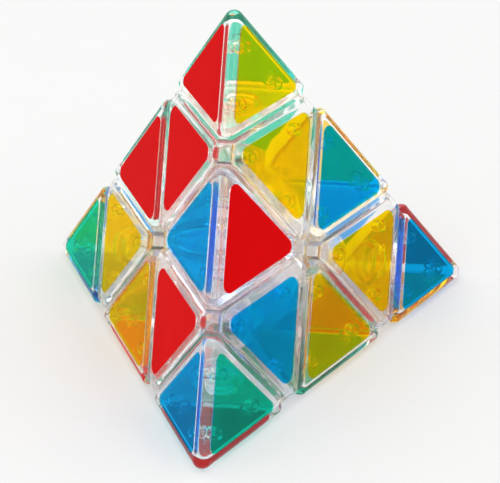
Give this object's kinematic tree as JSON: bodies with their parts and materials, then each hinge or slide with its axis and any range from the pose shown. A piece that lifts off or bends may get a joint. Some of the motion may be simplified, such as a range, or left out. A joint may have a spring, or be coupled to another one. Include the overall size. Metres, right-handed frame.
{
  "type": "pyramid twisty puzzle",
  "caption": "Clear tetrahedral twisty puzzle with coloured film triangles, turning tips and a turning layer on a sprung screw core.",
  "frame": {"origin": "centre of the core, which is the centre of the tetrahedron and where all four corner axes meet", "axes": "+Z from the centre to the top corner; -Y towards the front corner; the bottom face is square to Z"},
  "size_m": [0.0986, 0.086, 0.0813],
  "materials": {
    "clear_shell": "clear polished",
    "clear_inner": "clear moulded",
    "core_plastic": "clear moulded",
    "film_red": "translucent film",
    "film_yellow": "translucent film",
    "film_blue": "translucent film",
    "film_green": "translucent film",
    "screws": "zinc plated",
    "springs": "drawn wire",
    "washers": "satin"
  },
  "bodies": {
    "base": {"core": "core_plastic", "screws": "screws", "springs": "springs", "washers": "washers", "axial_left_shell": "clear_shell", "axial_left_base": "clear_inner", "axial_front_shell": "clear_shell", "axial_front_base": "clear_inner", "axial_right_shell": "clear_shell", "axial_right_base": "clear_inner", "edge_left_front_shell": "clear_shell", "edge_left_front_foot": "clear_inner", "edge_front_right_shell": "clear_shell", "edge_front_right_foot": "clear_inner", "edge_left_right_shell": "clear_shell", "edge_left_right_foot": "clear_inner", "films_base_red": "film_red", "films_base_yellow": "film_yellow", "films_base_blue": "film_blue", "films_base_green": "film_green"},
    "top_layer": {"axial_top_shell": "clear_shell", "axial_top_base": "clear_inner", "edge_top_left_shell": "clear_shell", "edge_top_left_foot": "clear_inner", "edge_top_front_shell": "clear_shell", "edge_top_front_foot": "clear_inner", "edge_top_right_shell": "clear_shell", "edge_top_right_foot": "clear_inner", "films_top_layer_red": "film_red", "films_top_layer_yellow": "film_yellow", "films_top_layer_blue": "film_blue", "films_top_layer_green": "film_green"},
    "tip_top": {"tip_top_cap": "clear_shell", "tip_top_base": "clear_inner", "film_tip_top_green": "film_green", "film_tip_top_red": "film_red", "film_tip_top_yellow": "film_yellow"},
    "tip_left": {"tip_left_cap": "clear_shell", "tip_left_base": "clear_inner", "film_tip_left_blue": "film_blue", "film_tip_left_green": "film_green", "film_tip_left_yellow": "film_yellow"},
    "tip_front": {"tip_front_cap": "clear_shell", "tip_front_base": "clear_inner", "film_tip_front_blue": "film_blue", "film_tip_front_green": "film_green", "film_tip_front_red": "film_red"},
    "tip_right": {"tip_right_cap": "clear_shell", "tip_right_base": "clear_inner", "film_tip_right_blue": "film_blue", "film_tip_right_red": "film_red", "film_tip_right_yellow": "film_yellow"}
  },
  "joints": [
    {"name": "top_layer_turn", "type": "hinge", "parent": "base", "child": "top_layer", "pos_m": [0, 0, 0], "axis": [0, 0, 1], "continuous": true},
    {"name": "tip_top_turn", "type": "hinge", "parent": "top_layer", "child": "tip_top", "pos_m": [0, 0, 0], "axis": [0, 0, 1], "continuous": true},
    {"name": "tip_left_turn", "type": "hinge", "parent": "base", "child": "tip_left", "pos_m": [0, 0, 0], "axis": [-0.8165, 0.4714, -0.3333], "continuous": true},
    {"name": "tip_front_turn", "type": "hinge", "parent": "base", "child": "tip_front", "pos_m": [0, 0, 0], "axis": [0, -0.9428, -0.3333], "continuous": true},
    {"name": "tip_right_turn", "type": "hinge", "parent": "base", "child": "tip_right", "pos_m": [0, 0, 0], "axis": [0.8165, 0.4714, -0.3333], "continuous": true}
  ]
}
